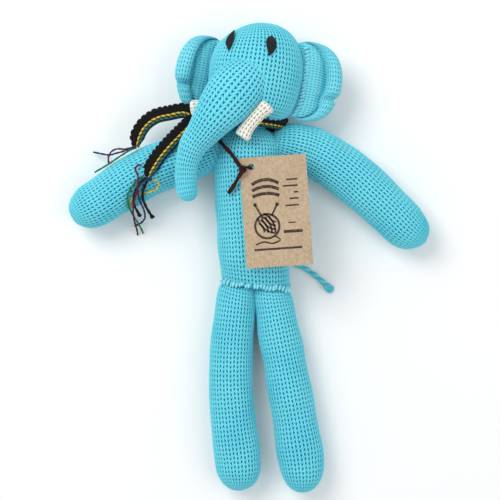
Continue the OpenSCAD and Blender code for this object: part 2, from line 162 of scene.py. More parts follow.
def cloth_piece(name, form, stitches, openness, material):
    """A piece from a grid of places in mm, with its seams and poles closed. stitches counts each
    place in wales and courses, and openness says how far the stitches gape there."""
    rows, columns = form.shape[0] - 1, form.shape[1] - 1
    shape = bmesh.new()
    bmesh.ops.create_grid(shape, x_segments=columns, y_segments=rows, size=1)
    mesh = mesh_from(shape, name)
    flat = np.empty(len(mesh.vertices) * 3)
    mesh.vertices.foreach_get("co", flat)
    flat = flat.reshape(-1, 3)
    column = np.rint((flat[:, 0] + 1) * columns / 2).astype(int)
    row = np.rint((flat[:, 1] + 1) * rows / 2).astype(int)
    mesh.vertices.foreach_set("co", (form[row, column] * MM).ravel())
    corner = np.empty(len(mesh.loops), int)
    mesh.loops.foreach_get("vertex_index", corner)
    layer = mesh.uv_layers.new(name="stitches")
    layer.data.foreach_set("uv", stitches[row[corner], column[corner]].astype(np.float32).ravel())
    gape = mesh.attributes.new("openness", "FLOAT", "POINT")
    gape.data.foreach_set("value", openness[row, column].astype(np.float32))
    shape = bmesh.new()
    shape.from_mesh(mesh)
    bmesh.ops.remove_doubles(shape, verts=shape.verts, dist=1e-6)
    bmesh.ops.recalc_face_normals(shape, faces=shape.faces)
    shape.to_mesh(mesh)
    shape.free()
    mesh.shade_smooth()
    return in_scene(name, mesh, material)


def outwards(form):
    """The outward direction at each place of a grid that is rolled into a tube."""
    along = np.gradient(form, axis=0)
    ring = form[:, :-1]
    across = np.roll(ring, -1, axis=1) - np.roll(ring, 1, axis=1)
    across = np.concatenate([across, across[:, :1]], axis=1)
    return unit(np.cross(along, across))


def closed_ends(form, line):
    """Adds a ring at each end of a form, drawn together on the line that it follows."""
    around = form.shape[1]
    first, last = np.repeat(line[:1, None], around, 1), np.repeat(line[-1:, None], around, 1)
    return np.concatenate([first, form, last])


def stand_in(piece, body, slot, *nodes):
    """Fixes a piece to a body, in place of any CAD nodes named. slot is not used."""
    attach(piece, body)
    if nodes:
        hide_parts(*nodes)
    return piece


# Materials -----------------------------------------------------------------------------------

def add(tree, kind, inputs, **settings):
    """Adds one shader node with its settings. Each input is a number, a colour or a node's output."""
    made = tree.nodes.new("ShaderNode" + kind)
    for name, value in settings.items():
        setattr(made, name, value)
    for socket, value in inputs.items():
        if isinstance(value, bpy.types.NodeSocket):
            tree.links.new(value, made.inputs[socket])
        else:
            made.inputs[socket].default_value = value
    return made


def new_material(name, roughness, sheen, sheen_tint, specular):
    """A material with the settings of its whole surface. Returns it, its tree and its shader."""
    made = bpy.data.materials.new(name)
    made.use_nodes = True
    skin = made.node_tree.nodes["Principled BSDF"]
    skin.inputs["Roughness"].default_value = roughness
    skin.inputs["Specular IOR Level"].default_value = specular
    skin.inputs["Sheen Weight"].default_value = sheen
    skin.inputs["Sheen Roughness"].default_value = 0.5
    skin.inputs["Sheen Tint"].default_value = linear(sheen_tint)
    return made, made.node_tree, skin


def stockinette(name, gap, shade, body, crown):
    """Cotton yarn knitted in stockinette: columns of V stitches with painted shade in the pit where two
    legs part, painted shade in the valleys, a painted highlight on the legs' crowns, a dry surface and a
    slight halo of fibre. The stitches' UV counts wales and courses, so the pattern is at yarn scale."""
    made, tree, skin = new_material(name, 0.88, 0.25, crown, 0.2)
    counted = add(tree, "UVMap", {}, uv_map="stitches").outputs[0]
    count = add(tree, "SeparateXYZ", {0: counted})
    gape = add(tree, "Attribute", {}, attribute_name="openness").outputs["Fac"]
    part = add(tree, "Math", {0: count.outputs[0]}, operation="FRACT").outputs[0]
    side = add(tree, "Math", {0: part, 1: 0.5}, operation="SUBTRACT").outputs[0]
    off = add(tree, "Math", {0: side}, operation="ABSOLUTE").outputs[0]
    slant = add(tree, "Math", {0: off, 1: STITCH_SLANT, 2: count.outputs[1]},
                operation="MULTIPLY_ADD").outputs[0]
    rise = add(tree, "Math", {0: slant}, operation="FRACT").outputs[0]
    turn = add(tree, "Math", {0: rise, 1: math.pi}, operation="MULTIPLY").outputs[0]
    step = add(tree, "Math", {0: turn}, operation="SINE").outputs[0]
    swing = add(tree, "Math", {0: off, 1: LEG_SPAN * math.pi, 2: LEG_START * math.pi},
                operation="MULTIPLY_ADD").outputs[0]
    leg = add(tree, "Math", {0: swing}, operation="SINE", use_clamp=True).outputs[0]
    aside = add(tree, "Math", {0: off, 1: 0.25}, operation="SUBTRACT").outputs[0]
    far = add(tree, "Math", {0: aside}, operation="ABSOLUTE").outputs[0]
    edge = add(tree, "MapRange", {0: far, 1: 0.09, 2: 0.19}, interpolation_type="SMOOTHSTEP").outputs[0]
    beat = add(tree, "Math", {0: slant, 1: 0.5}, operation="PINGPONG").outputs[0]
    pause = add(tree, "MapRange", {0: beat, 1: 0.14, 2: 0.36, 3: 1.0, 4: 0.0},
                interpolation_type="SMOOTHSTEP").outputs[0]
    pit = add(tree, "Math", {0: edge, 1: pause}, operation="MULTIPLY").outputs[0]
    # Where the pit's painted shade goes: the dark gap colour, strongest where the stitches gape
    pit_shade_mask = add(tree, "Math", {0: pit, 1: gape}, operation="MULTIPLY").outputs[0]
    beaded = add(tree, "Math", {0: step, 1: 0.55, 2: 0.45}, operation="MULTIPLY_ADD").outputs[0]
    crest = add(tree, "Math", {0: leg, 1: beaded}, operation="MULTIPLY").outputs[0]
    # Dye takes unevenly over a few centimetres, and from one stitch to the next
    place = add(tree, "TexCoord", {}).outputs["Object"]
    cloud = add(tree, "TexNoise", {"Vector": place, "Scale": 38.0, "Detail": 2.0}).outputs["Fac"]
    fuzz = add(tree, "TexNoise", {"Vector": place, "Scale": 900.0, "Detail": 3.0}).outputs["Fac"]
    worn = add(tree, "Math", {0: cloud, 1: 0.7, 2: -0.35}, operation="MULTIPLY_ADD").outputs[0]
    speck = add(tree, "Math", {0: fuzz, 1: 0.5, 2: worn}, operation="MULTIPLY_ADD").outputs[0]
    # Painted light: lit is high on the crest of each leg, for a painted highlight, and low in the valleys,
    # for painted shade, with the random tone of the noise on top
    lit = add(tree, "Math", {0: crest, 1: 0.9, 2: speck},
              operation="MULTIPLY_ADD", use_clamp=True).outputs[0]
    yarn = add(tree, "ValToRGB", {0: lit})
    yarn.color_ramp.elements[0].color = linear(shade)
    yarn.color_ramp.elements[0].position = 0.1
    yarn.color_ramp.elements[1].color = linear(crown)
    yarn.color_ramp.elements[1].position = 0.95
    middle = yarn.color_ramp.elements.new(0.5)
    middle.color = linear(body)
    # The pit's painted shade, mixed over the painted highlight and shade of the legs
    colour = add(tree, "Mix", {"Factor": pit_shade_mask, 6: yarn.outputs[0], 7: linear(gap)},
                 data_type="RGBA").outputs[2]
    tree.links.new(colour, skin.inputs["Base Color"])
    # Fine lines of the yarn's fibres, about 0.2 mm apart, slanting with the stitches
    ply = add(tree, "Math", {0: slant, 1: 7.0, 2: count.outputs[0]}, operation="MULTIPLY_ADD").outputs[0]
    wave = add(tree, "Math", {0: ply, 1: 0.5}, operation="PINGPONG").outputs[0]
    grain = add(tree, "Math", {0: wave, 1: 0.8, 2: fuzz}, operation="MULTIPLY_ADD").outputs[0]
    bump = add(tree, "Bump", {"Strength": 0.35, "Distance": 0.0004, "Height": grain}).outputs[0]
    tree.links.new(bump, skin.inputs["Normal"])
    return made


def spun_yarn(name, dark, light):
    """Two-ply dyed cotton yarn with loose fibre: a painted highlight along the plies' crowns and painted
    shade where they meet.
    """
    made, tree, skin = new_material(name, 0.85, 0.2, light, 0.25)
    counted = add(tree, "UVMap", {}, uv_map="stitches").outputs[0]
    count = add(tree, "SeparateXYZ", {0: counted})
    crest = add(tree, "Math", {0: count.outputs[0], 1: 0.5}, operation="PINGPONG").outputs[0]
    place = add(tree, "TexCoord", {}).outputs["Object"]
    fuzz = add(tree, "TexNoise", {"Vector": place, "Scale": 1500.0, "Detail": 3.0}).outputs["Fac"]
    lit = add(tree, "Math", {0: crest, 1: 1.1, 2: fuzz}, operation="MULTIPLY_ADD").outputs[0]
    share = add(tree, "MapRange", {0: lit, 1: 0.4, 2: 1.1}).outputs[0]
    # Painted light: a painted highlight on each ply's crown and painted shade where the plies meet, from
    # the ply's place round the yarn
    colour = add(tree, "Mix", {"Factor": share, 6: linear(dark), 7: linear(light)},
                 data_type="RGBA").outputs[2]
    tree.links.new(colour, skin.inputs["Base Color"])
    bump = add(tree, "Bump", {"Strength": 0.4, "Distance": 0.0002, "Height": fuzz}).outputs[0]
    tree.links.new(bump, skin.inputs["Normal"])
    return made


CROCHET_ROWS = (0.28, 0.52, 0.64, 0.72, 0.85)  # where a row ends, as a share of the band's width


def crochet_cotton():
    """Crocheted cotton worked lengthwise in colours: black rows, a yellow chain, then dark red, green
    and navy. The stitches' UV runs from the outer edge to the inner one, and counts the chain stitches
    along the band."""
    made, tree, skin = new_material("crocheted_cotton", 0.85, 0.12, "#8A8A92", 0.25)
    counted = add(tree, "UVMap", {}, uv_map="stitches").outputs[0]
    count = add(tree, "SeparateXYZ", {0: counted})
    place = add(tree, "TexCoord", {}).outputs["Object"]
    fuzz = add(tree, "TexNoise", {"Vector": place, "Scale": 700.0, "Detail": 3.0}).outputs["Fac"]
    stray = add(tree, "Math", {0: fuzz, 1: 0.10, 2: -0.05}, operation="MULTIPLY_ADD").outputs[0]
    across = add(tree, "Math", {0: count.outputs[0], 1: stray}, operation="ADD").outputs[0]
    rows = add(tree, "ValToRGB", {0: across})
    rows.color_ramp.interpolation = "CONSTANT"
    rows.color_ramp.elements[0].color = linear("#0B0A0D")
    rows.color_ramp.elements[0].position = 0.0
    rows.color_ramp.elements[1].color = linear("#DFC04A")
    rows.color_ramp.elements[1].position = CROCHET_ROWS[1]
    for start, code in zip(CROCHET_ROWS[2:], ("#6A1830", "#1A7A5A", "#1F2546")):
        rows.color_ramp.elements.new(start).color = linear(code)
    slope = add(tree, "Math", {0: count.outputs[0], 1: 2.4, 2: count.outputs[1]},
                operation="MULTIPLY_ADD").outputs[0]
    part = add(tree, "Math", {0: slope, 1: 0.5}, operation="PINGPONG").outputs[0]
    joint = add(tree, "MapRange", {0: part, 1: 0.04, 2: 0.24, 3: 0.95, 4: 0.0}).outputs[0]
    colour = add(tree, "Mix", {"Factor": joint, 6: rows.outputs[0], 7: linear("#09080B")},
                 data_type="RGBA").outputs[2]
    tree.links.new(colour, skin.inputs["Base Color"])
    bump = add(tree, "Bump", {"Strength": 0.5, "Distance": 0.0004, "Height": fuzz}).outputs[0]
    tree.links.new(bump, skin.inputs["Normal"])
    return made


def stitched_floss():
    """Black embroidery floss laid side by side: nearly matt, with a fine line of painted shade about every
    0.9 mm between strands and a faint painted highlight along their middles.
    """
    made, tree, skin = new_material("stitched_floss", 0.7, 0.1, "#6A6A76", 0.3)
    counted = add(tree, "UVMap", {}, uv_map="stitches").outputs[0]
    count = add(tree, "SeparateXYZ", {0: counted})
    strand = add(tree, "Math", {0: count.outputs[1], 1: 0.5}, operation="PINGPONG").outputs[0]
    share = add(tree, "MapRange", {0: strand, 1: 0.0, 2: 0.5}).outputs[0]
    # Painted light: each strand lighter in its middle as a painted highlight and darker at its edges as
    # painted shade
    colour = add(tree, "Mix", {"Factor": share, 6: linear("#0C0D10"), 7: linear("#22242B")},
                 data_type="RGBA").outputs[2]
    tree.links.new(colour, skin.inputs["Base Color"])
    bump = add(tree, "Bump", {"Strength": 0.6, "Distance": 0.0003, "Height": strand}).outputs[0]
    tree.links.new(bump, skin.inputs["Normal"])
    return made


def kraft_board():
    """Recycled kraft card 0.8 mm thick: warm brown pulp with flecks of darker fibre, quite matt."""
    made, tree, skin = new_material("kraft_board", 0.9, 0.0, "#FFFFFF", 0.15)
    place = add(tree, "TexCoord", {}).outputs["Object"]
    pulp = add(tree, "TexNoise", {"Vector": place, "Scale": 420.0, "Detail": 5.0}).outputs["Fac"]
    cloud = add(tree, "TexNoise", {"Vector": place, "Scale": 45.0, "Detail": 2.0}).outputs["Fac"]
    stretch = add(tree, "Mapping", {"Vector": place, "Scale": (1.0, 0.35, 1.0),
                                    "Rotation": (0, 0, 0.5)}).outputs[0]
    fleck = add(tree, "TexNoise", {"Vector": stretch, "Scale": 1400.0, "Detail": 1.0}).outputs["Fac"]
    mixed = add(tree, "Math", {0: cloud, 1: 0.35, 2: pulp}, operation="MULTIPLY_ADD").outputs[0]
    tone = add(tree, "MapRange", {0: mixed, 1: 0.35, 2: 1.0}).outputs[0]
    base = add(tree, "Mix", {"Factor": tone, 6: linear("#AE9679"), 7: linear("#CDB79B")},
               data_type="RGBA").outputs[2]
    dark = add(tree, "MapRange", {0: fleck, 1: 0.62, 2: 0.72, 3: 0.0, 4: 0.55}).outputs[0]
    colour = add(tree, "Mix", {"Factor": dark, 6: base, 7: linear("#7E664B")},
                 data_type="RGBA").outputs[2]
    tree.links.new(colour, skin.inputs["Base Color"])
    bump = add(tree, "Bump", {"Strength": 0.25, "Distance": 0.0002, "Height": pulp}).outputs[0]
    tree.links.new(bump, skin.inputs["Normal"])
    return made


def stamping_ink():
    """Dark brown stamping ink soaked into the card: matt, thinner where the stamp missed."""
    made, tree, skin = new_material("stamping_ink", 0.85, 0.0, "#FFFFFF", 0.2)
    place = add(tree, "TexCoord", {}).outputs["Object"]
    patch = add(tree, "TexNoise", {"Vector": place, "Scale": 650.0, "Detail": 3.0}).outputs["Fac"]
    share = add(tree, "MapRange", {0: patch, 1: 0.5, 2: 0.75}).outputs[0]
    colour = add(tree, "Mix", {"Factor": share, 6: linear("#41352F"), 7: linear("#7A6656")},
                 data_type="RGBA").outputs[2]
    tree.links.new(colour, skin.inputs["Base Color"])
    return made


def fibre_fill():
    """Polyester fibre stuffing: off-white, cloudy and soft."""
    made, tree, skin = new_material("polyester_fibre_fill", 0.95, 0.4, "#FFFFFF", 0.1)
    place = add(tree, "TexCoord", {}).outputs["Object"]
    tuft = add(tree, "TexNoise", {"Vector": place, "Scale": 260.0, "Detail": 6.0,
                                  "Distortion": 1.2}).outputs["Fac"]
    colour = add(tree, "Mix", {"Factor": tuft, 6: linear("#DAD6CB"), 7: linear("#FAF8F2")},
                 data_type="RGBA").outputs[2]
    tree.links.new(colour, skin.inputs["Base Color"])
    bump = add(tree, "Bump", {"Strength": 0.7, "Distance": 0.001, "Height": tuft}).outputs[0]
    tree.links.new(bump, skin.inputs["Normal"])
    return made


def floor_paper():
    """White background paper, matt, with the faintest mottle."""
    made, tree, skin = new_material("background_paper", 0.95, 0.0, "#FFFFFF", 0.1)
    place = add(tree, "TexCoord", {}).outputs["Object"]
    mottle = add(tree, "TexNoise", {"Vector": place, "Scale": 6.0, "Detail": 2.0}).outputs["Fac"]
    colour = add(tree, "Mix", {"Factor": mottle, 6: linear("#FBFBFC"), 7: linear("#FDFDFC")},
                 data_type="RGBA").outputs[2]
    tree.links.new(colour, skin.inputs["Base Color"])
    return made


# Each knit's colours: painted shade in its pits, painted shade in its valleys, the yarn's own colour and a
# painted highlight on its crowns
turquoise_knit = stockinette("turquoise_cotton_knit", "#086A90", "#1FA6C4", "#44C4DB", "#76E0F0")
ear_knit = stockinette("turquoise_ear_knit", "#0C7FA0", "#2CABC4", "#52C8DC", "#84E4F2")
cream_knit = stockinette("cream_cotton_knit", "#A99F8B", "#D6D0BF", "#ECE8DA", "#F9F7EE")
# Each spun yarn here and in thread_colours takes two colours: painted shade where its plies meet, then a
# painted highlight on their crowns
turquoise_yarn = spun_yarn("turquoise_cotton_yarn", "#2FA9C2", "#86E4F0")
pale_stitch = spun_yarn("turquoise_sewing_yarn", "#55C6DA", "#A6EDF6")
tie_yarn = spun_yarn("maroon_cotton_yarn", "#180506", "#451314")
crochet = crochet_cotton()
floss = stitched_floss()
kraft = kraft_board()
print_ink = stamping_ink()
fill = fibre_fill()
thread_colours = {
    "navy": spun_yarn("navy_cotton_yarn", "#101836", "#32427A"),
    "green": spun_yarn("green_cotton_yarn", "#0B4A36", "#1F9266"),
    "purple": spun_yarn("purple_cotton_yarn", "#330E2B", "#74305E"),
    "maroon": spun_yarn("wine_cotton_yarn", "#350A1C", "#74264A"),
    "yellow": spun_yarn("yellow_cotton_yarn", "#B08A1C", "#F2D85C"),
    "black": spun_yarn("black_cotton_yarn", "#08080A", "#26262C"),
}


# Cords ---------------------------------------------------------------------------------------

def plied_yarn(name, route, thickness, material, flare=1.0, closed=False, pitch=4.0):
    """Two plies twisted round each other along a route in mm, whose end may flare. Returns the piece
    and its path in metres."""
    line = smooth_path(route, 0.3 * thickness)
    count = len(line)
    ahead = unit(np.gradient(line, axis=0))
    if closed:
        ahead[0] = ahead[-1] = unit(line[1] - line[-2])
    side = np.empty_like(line)
    guess = np.cross(ahead[0], UP if abs(ahead[0][2]) < 0.9 else np.array([1.0, 0, 0]))
    for i in range(count):
        guess = unit(guess - ahead[i] * np.dot(guess, ahead[i]))
        side[i] = guess
    lift = np.cross(side, ahead)
    run = travelled(line)
    turn = np.linspace(0, 2 * math.pi, YARN_SIDES + 1)
    twist = 2 * math.pi * run / (pitch * thickness)
    lobes = 0.98 + 0.14 * np.cos(2 * (turn[None, :] - twist[:, None] / 2))
    size = np.full(count, thickness / 2)
    if not closed:
        size *= 1 + (flare - 1) * ease(run[-1] - 2.2 * thickness, run[-1], run)
    radius = lobes * size[:, None]
    form = (line[:, None, :] + side[:, None, :] * (radius * np.cos(turn))[:, :, None]
            + lift[:, None, :] * (radius * np.sin(turn))[:, :, None])
    if not closed:
        form = closed_ends(form, line)
        twist, run = np.pad(twist, 1, "edge"), np.pad(run, 1, "edge")
    crest = (turn[None, :] - twist[:, None] / 2) / math.pi
    stitches = np.stack([crest, np.repeat(run[:, None] / thickness, YARN_SIDES + 1, 1)], axis=2)
    piece = cloth_piece(name, form, stitches, np.ones(form.shape[:2]), material)
    return piece, [tuple(p * MM) for p in line[::2]] + [tuple(line[-1] * MM)]


def fringe(node, colour, body, route, thickness=1.5, flare=1.0):
    """One loose yarn of the scarf's fringe, with its route and length in mm."""
    piece, path = plied_yarn(node + "_yarn", route, thickness, thread_colours[colour], flare)
    stand_in(piece, body, "fringe_" + colour, node)


fringe("fringe_upper_navy", "navy", "scarf_upper", [
    [-90, 66, 28], [-94, 66, 27], [-99.4, 64.5, 25], [-106.7, 63.5, 20], [-112.4, 62.8, 14],
    [-119.6, 64.7, 8], [-126.7, 66.8, 5]])
fringe("fringe_upper_green", "green", "scarf_upper", [
    [-89, 66, 29.5], [-93, 65, 30], [-101.2, 61, 29.5], [-112.9, 54.5, 27.5], [-124.7, 48.8, 25]])
fringe("fringe_upper_purple", "purple", "scarf_upper", [
    [-90, 67.5, 31], [-93.6, 66, 33.5], [-98.5, 65.2, 35], [-104.1, 65.8, 35], [-108.2, 64.7, 33.5],
    [-111.7, 60.9, 31.5], [-112.3, 53.8, 31]])
fringe("fringe_lower_maroon", "maroon", "scarf_lower", [
    [-85, 50.5, 42], [-87.5, 51.5, 42.5], [-90, 48.5, 43.5], [-88.5, 43, 45.5], [-88.5, 37, 47],
    [-89.5, 31.5, 46.2], [-92, 25, 42.5], [-94.5, 18, 36], [-95.5, 11, 26], [-95.5, 4, 13], [-95, -1.5, 4],
    [-95, -4, 2]])
fringe("fringe_lower_navy", "navy", "scarf_lower", [
    [-77.8, 39.3, 41.9], [-81, 38.7, 44.9], [-85, 37, 45.4], [-88.3, 33.5, 44.8], [-89.5, 28, 41.5],
    [-88.5, 22, 36], [-87, 16.5, 27.5], [-86.8, 11.5, 17], [-88.5, 8, 8], [-92, 5.5, 3],
    [-97, 3.5, 1.6]])
fringe("fringe_lower_green", "green", "scarf_lower", [
    [-84.6, 41.7, 41.8], [-89.5, 39, 42.5], [-94, 34, 42.2], [-97.5, 28.5, 40.6], [-98.5, 22.5, 37.6],
    [-97.5, 16.5, 31], [-95.5, 10.5, 20.5], [-93, 4.5, 9.5], [-91, -1, 3], [-90.5, -3, 1.6]])
fringe("fringe_lower_yellow", "yellow", "scarf_lower", [
    [-76, 38.6, 41.6], [-73.5, 37, 40.5], [-72.8, 33.8, 38.5], [-75, 31, 36.5], [-80, 29.5, 36],
    [-85.5, 28.8, 35.8], [-91, 27.5, 36.6], [-95, 24.5, 36], [-96.6, 20.5, 33.2], [-96.2, 19, 31.8]])
fringe("fringe_lower_black_1", "black", "scarf_lower", [
    [-82.1, 40.6, 41.6], [-86, 38, 42.6], [-90.5, 32.5, 41.5], [-93.2, 26, 38.8], [-93.8, 20, 34],
    [-92.2, 15, 27], [-91, 11.5, 21]], 2.2, 1.7)
fringe("fringe_lower_black_2", "black", "scarf_lower", [
    [-79.8, 40, 41.5], [-82, 37, 41.2], [-85, 31.5, 39.8], [-86.3, 26, 36.2], [-85.5, 20, 28.5],
    [-83.5, 14.5, 21], [-81, 9.5, 14.5]], 2.2, 1.7)

# Tail: a twisted cord with a knot, and a short tuft of cut ends past it
tail_route = [[23.5, -30, 7], [26.5, -32.2, 6], [30.3, -35, 5], [40.4, -40.5, 3], [49.7, -47.7, 2.6],
              [57, -55, 2.8]]
knot_at = np.array([59, -57.5, 3.4])
knot_line = [knot_at + [2.1 * math.cos(a) * (1 - 0.02 * a), 2.1 * math.sin(a), 1.1 * math.sin(0.77 * a)]
             for a in np.linspace(0, 4.4 * math.pi, 22)]
tail_knot, _ = plied_yarn("tail_knot_yarn", knot_line, 2.4, turquoise_yarn)
stand_in(tail_knot, "tail", "turquoise_cord", "tail_knot")
tail, path = plied_yarn("tail_cord_yarn", tail_route, 4.0, turquoise_yarn, pitch=2.0)
stand_in(tail, "tail", "turquoise_cord", "tail_cord")
for number, (turn, reach) in enumerate(((-92, 4.6), (-72, 5.4), (-50, 5.8), (-28, 5.4), (-8, 4.6))):
    way = math.radians(turn)
    end = knot_at + [reach * math.cos(way), reach * math.sin(way), -1.2]
    halfway = (knot_at + end) / 2 + [0, 0, 0.6]
    strand, _ = plied_yarn(f"tail_tuft_{number}", [knot_at, halfway, end], 1.7, turquoise_yarn, 1.2)
    stand_in(strand, "tail", "turquoise_cord")

# Tag's tie: a yarn knotted at its middle, and the loop that goes through the card
tie_route = [[-21.2, 66, 44], [-17, 60, 49], [-12.3, 54, 52.5], [-8, 46.5, 55.5], [-4.8, 41, 57.5],
             [-8, 35.5, 56], [-12, 29.5, 53], [-16.8, 23.5, 50.5]]
tie_knot_at = np.array([-4.4, 41.2, 57.0])
tie_knot_line = [tie_knot_at + [2.2 * math.cos(a), 2.0 * math.sin(a), 0.9 * math.sin(1.5 * a)]
                 for a in np.linspace(0.4, 4 * math.pi, 20)]
tie_knot, _ = plied_yarn("tag_tie_knot", tie_knot_line, 2.2, tie_yarn)
stand_in(tie_knot, "torso", "maroon_tie_yarn")
loop_line = [[-1.85 + 4.15 * math.cos(a), 42.2 + 0.6 * math.sin(a), 52.8 + 1.9 * math.sin(a)]
             for a in np.linspace(0, 2 * math.pi, 17)]
tie_loop, _ = plied_yarn("tag_tie_loop_yarn", loop_line, 2.0, tie_yarn, closed=True)
stand_in(tie_loop, "torso", "maroon_tie_yarn", "tag_tie_loop")
tie, path = plied_yarn("tag_tie_yarn", tie_route, 3.1, tie_yarn, 1.2)
stand_in(tie, "torso", "maroon_tie_yarn", "tag_tie")


# Knitted and stuffed pieces ------------------------------------------------------------------

def stitch_height(wale, course):
    """Height of stockinette at a place counted in wales and courses: slanting legs, with a pit where
    two legs part."""
    off = np.abs(wale % 1 - 0.5)
    leg = np.sin(math.pi * (LEG_START + LEG_SPAN * off))
    rise = (course + STITCH_SLANT * off) % 1
    step = np.clip(np.sin(math.pi * rise), 0, 1)
    pit = ease(0.08, 0.22, np.abs(off - 0.25)) * ease(0.34, 0.1, 0.5 - np.abs(rise - 0.5))
    return leg ** 0.7 * (0.5 + 0.5 * step ** 0.6) - 0.9 * pit


def hand_lumps(form, size):
    """Slow unevenness of hand stuffing, a few centimetres from crest to crest."""
    lumps = np.zeros(form.shape[:2])
    for length in (22, 31, 44, 60):
        way = unit(chance.normal(size=3))
        lumps += np.sin(2 * math.pi * (form @ way) / length + chance.uniform(0, 6.28)) * length / 60
    return lumps * size


def settled(form, floor=0.45, softness=0.8):
    """Fabric that would reach below the floor lies flat on it."""
    form[:, :, 2] = floor + softness * np.logaddexp(0, (form[:, :, 2] - floor) / softness)
    return form


def tube_form(stations, sides):
    """Rings round stations of x, y, z, half width, half thickness and, where the ring leans in plan,
    the degrees that it leans."""
    line = smooth_run([s if len(s) > 5 else [*s, 0] for s in stations], COURSE / ROWS)
    ahead = unit(np.gradient(line[:, :3], axis=0))
    spread = 9
    padded = np.pad(ahead, ((spread, spread), (0, 0)), "edge")
    ahead = unit(sum(padded[i:i + len(ahead)] for i in range(2 * spread + 1)))
    across = unit(np.cross(ahead, UP))
    up = np.cross(across, ahead)
    lean = np.radians(line[:, 5:6])
    across = across * np.cos(lean) + unit(np.cross(UP, across)) * np.sin(lean)
    turn = np.linspace(-0.5 * math.pi, 1.5 * math.pi, sides + 1)
    return (line[:, None, :3] + across[:, None, :] * (line[:, 3:4] * np.cos(turn))[:, :, None]
            + up[:, None, :] * (line[:, 4:5] * np.sin(turn))[:, :, None])


def knit_tube(name, stations, wales, material, sides=SIDES, depth=0.8, lump=0.35, ends=None,
              place=None, flat=True):
    """A knitted tube through stations: wales round it, courses along it. The stitches close up where
    the tube narrows, and by as much as ends says at each share of its length. depth and lump are the
    heights of stitches and stuffing, and place turns and moves the tube."""
    form = tube_form(stations, wales * sides)
    rows = form.shape[0] - 1
    width = np.linalg.norm(np.diff(form, axis=1), axis=2).sum(axis=1) / wales
    openness = ease(0.3, 0.85, width / WALE)
    if ends:
        openness = openness * ends(np.linspace(0, 1, rows + 1))
    openness = np.repeat(openness[:, None], form.shape[1], 1)
    wale, course = np.meshgrid(np.linspace(0, wales, form.shape[1]), np.arange(rows + 1) / ROWS)
    out = outwards(form)
    drawn = ease(0.0, 0.35, width / WALE)[:, None]
    relief = (stitch_height(wale, course) - STITCH_MIDDLE) * depth * (0.35 + 0.65 * openness) * drawn
    form = form + out * (relief + hand_lumps(form, lump) * drawn)[:, :, None]
    form[:, -1] = form[:, 0]
    form[0], form[-1] = form[0].mean(axis=0), form[-1].mean(axis=0)
    if place is not None:
        form = form @ place[:3, :3].T + place[:3, 3]
    if flat:
        form = settled(form)
    return cloth_piece(name, form, np.stack([wale, course], axis=2), openness, material)


# Torso: a tube on its back, drawn in at the neck and pressed flat at the hip seam
SEAM = -9.9          # degrees that the hip seam leans in plan
SEAM_SLOPE = 0.1745  # the same as a slope
torso = knit_tube("torso_knit", [
    [-0.1, -51.3, 19.0, 26.2, 0.0, SEAM], [-0.1, -51.0, 19.1, 27.2, 9.0, SEAM],
    [0, -49.8, 19.6, 27.6, 12.6, SEAM], [0, -46.5, 20.8, 27.8, 16.2, SEAM * 0.9],
    [0, -41, 22.2, 27.9, 19.2, SEAM * 0.8], [0, -31, 24, 28.1, 22.7, SEAM * 0.4],
    [0, -14, 25, 28.4, 24.9], [0, 6, 25.2, 28.5, 25.4], [0.3, 32, 25.2, 28.6, 25.4],
    [0.8, 50, 25, 28.2, 24.6], [1.8, 61, 25, 26.8, 22.6], [2.6, 68.5, 25, 22.6, 19.4],
    [3.0, 73, 25, 17.5, 15.5], [3.2, 76, 25, 11, 10.5], [3.3, 77.6, 25, 4, 4], [3.3, 78, 25, 0, 0],
], 30, turquoise_knit)
stand_in(torso, "torso", "turquoise_knit", "torso_skin")

# Neck: the drawn-in knitting between torso and head
neck = knit_tube("neck_knit", [
    [2.6, 66.5, 25, 0, 0], [2.8, 67, 25, 9, 9], [3.4, 71, 25, 12.5, 12], [4, 76, 25, 12, 11.5],
    [5, 81, 25.5, 12.5, 12], [6, 85.5, 26, 9, 9], [6.2, 86, 26, 0, 0],
], 12, turquoise_knit, lump=0.1)
stand_in(neck, "neck", "turquoise_knit", "neck_gather")

# Head: an egg turned to one side and leaning, its wales running from the neck to the crown
def beside_head(middle, lean):
    """The place of something with its middle in mm, turned as the head is and leaning in degrees."""
    return (Matrix.Translation(middle) @ Matrix.Rotation(math.radians(-12.7), 4, "Z")
            @ Matrix.Rotation(math.radians(lean), 4, "Y"))


HEAD_LEAN = -15
HEAD_PLACE = np.array(beside_head((11, 118, 34.1), HEAD_LEAN))
HEAD_HALF = np.array([37.9, 42.5, 33.5])  # half its width, length and depth, in mm
HEAD_RINGS = [
    [0, -42.5, 0, 0, 0], [0, -41.6, 0, 9, 8], [0, -38.2, 0, 20, 16], [0, -33, 0, 28.5, 22],
    [0, -25, 0, 33.8, 27.5], [0, -14, 0, 36.8, 31.5], [0, 0, 0, 37.9, 33.5], [0, 12, 0, 37, 32.6],
    [-0.6, 24, 0, 32.8, 28.4], [-1.6, 31.4, 0, 26.8, 22.8], [-2.6, 37, 0, 18.2, 15.8],
    [-3.2, 40.1, 0, 9.5, 9], [-3.4, 41.2, 0, 0, 0],
]
head_line = smooth_run(HEAD_RINGS, COURSE / ROWS)
head = knit_tube("head_knit", HEAD_RINGS, 34, turquoise_knit, depth=0.85, lump=0.2, place=HEAD_PLACE)
stand_in(head, "head", "turquoise_knit", "head_skin", "head_stuffing")


